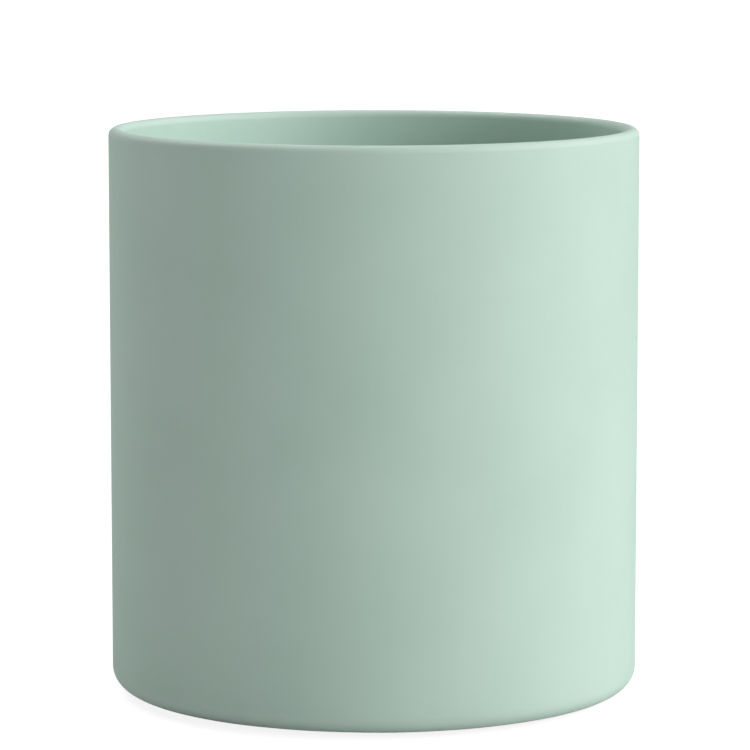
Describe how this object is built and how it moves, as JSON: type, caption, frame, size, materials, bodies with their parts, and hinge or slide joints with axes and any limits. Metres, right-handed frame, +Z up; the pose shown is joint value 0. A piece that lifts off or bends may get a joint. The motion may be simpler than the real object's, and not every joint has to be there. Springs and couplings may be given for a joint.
{
  "type": "brush holder pot",
  "caption": "Straight-sided round ceramic pot with an open top, a thin rounded lip and a recessed base on soft foot pads, for standing brushes and pens upright on a desk.",
  "frame": {"origin": "on the pot's axis, in the plane that the foot pads stand on", "axes": "+Z up along the pot's axis, towards its open top; -Y is the side seen in the picture"},
  "size_m": [0.1, 0.1, 0.1071],
  "materials": {
    "mint_glaze": "matte",
    "pad_silicone": "matte"
  },
  "bodies": {
    "root": {"pot_body": "mint_glaze", "foot_pad_front_left": "pad_silicone", "foot_pad_front_right": "pad_silicone", "foot_pad_back_left": "pad_silicone", "foot_pad_back_right": "pad_silicone"}
  },
  "joints": []
}
